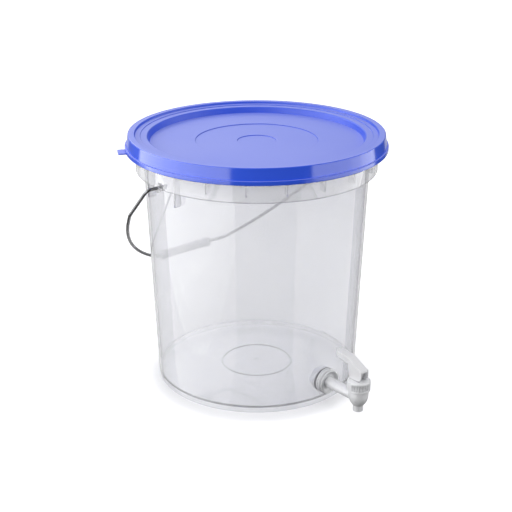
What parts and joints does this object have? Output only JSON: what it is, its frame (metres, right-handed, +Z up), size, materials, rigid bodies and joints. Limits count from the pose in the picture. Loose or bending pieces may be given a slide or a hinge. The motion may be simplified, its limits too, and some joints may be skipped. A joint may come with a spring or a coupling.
{
  "type": "plastic bucket with tap",
  "caption": "Clear plastic bucket with a press-on lid, a wire bail with a turning grip, and a self-closing lever tap low on the wall, for dispensing liquids.",
  "frame": {"origin": "centre of the foot ring, on the surface that the bucket stands on", "axes": "+Z up along the bucket's axis; the tap faces -Y; the bail's pivot axis runs along X"},
  "size_m": [0.3324, 0.3609, 0.3188],
  "materials": {
    "clear_plastic": "clear, slightly hazy polypropylene",
    "lid_plastic": "smooth blue moulded plastic with soft gloss",
    "seal_rubber": "pale soft rubber",
    "wire_steel": "bright galvanised wire",
    "grip_plastic": "white moulded plastic",
    "tap_plastic": "white moulded plastic, satin",
    "lever_plastic": "white moulded plastic, satin",
    "spring_steel": "plain stainless steel"
  },
  "bodies": {
    "bucket": {"bucket": "clear_plastic", "tap_body": "tap_plastic", "outer_washer": "seal_rubber", "inner_washer": "seal_rubber", "tap_nut": "tap_plastic", "tap_cap": "tap_plastic", "valve_spring": "spring_steel"},
    "lid": {"lid": "lid_plastic", "lid_gasket": "seal_rubber"},
    "bail": {"bail_wire": "wire_steel"},
    "grip": {"bail_grip": "grip_plastic"},
    "stem": {"valve_stem": "tap_plastic", "valve_seal": "seal_rubber", "lever_pin": "spring_steel"},
    "lever": {"tap_lever": "lever_plastic"}
  },
  "joints": [
    {"name": "lid_lift", "type": "slide", "parent": "bucket", "child": "lid", "axis": [0, 0, 1], "range_m": [0, 0.12]},
    {"name": "bail_swing", "type": "hinge", "parent": "bucket", "child": "bail", "pos_m": [0, 0, 0.277], "axis": [1, 0, 0], "range_deg": [0, 274]},
    {"name": "grip_spin", "type": "hinge", "parent": "bail", "child": "grip", "pos_m": [-0.0135, 0.13831, 0.12841], "axis": [1, 0, 0], "continuous": true},
    {"name": "valve_lift", "type": "slide", "parent": "bucket", "child": "stem", "axis": [0, 0, 1], "range_m": [0, 0.003], "stiffness_N_per_m": 400, "springref_m": -0.005, "deforming": ["valve_spring"]},
    {"name": "lever_flip", "type": "hinge", "parent": "stem", "child": "lever", "pos_m": [0, -0.18673, 0.0608], "axis": [1, 0, 0], "range_deg": [0, 85]}
  ],
  "couplings": [
    {"joint": "lever_flip", "follows": "valve_lift", "rad_per_m": 494.5}
  ]
}
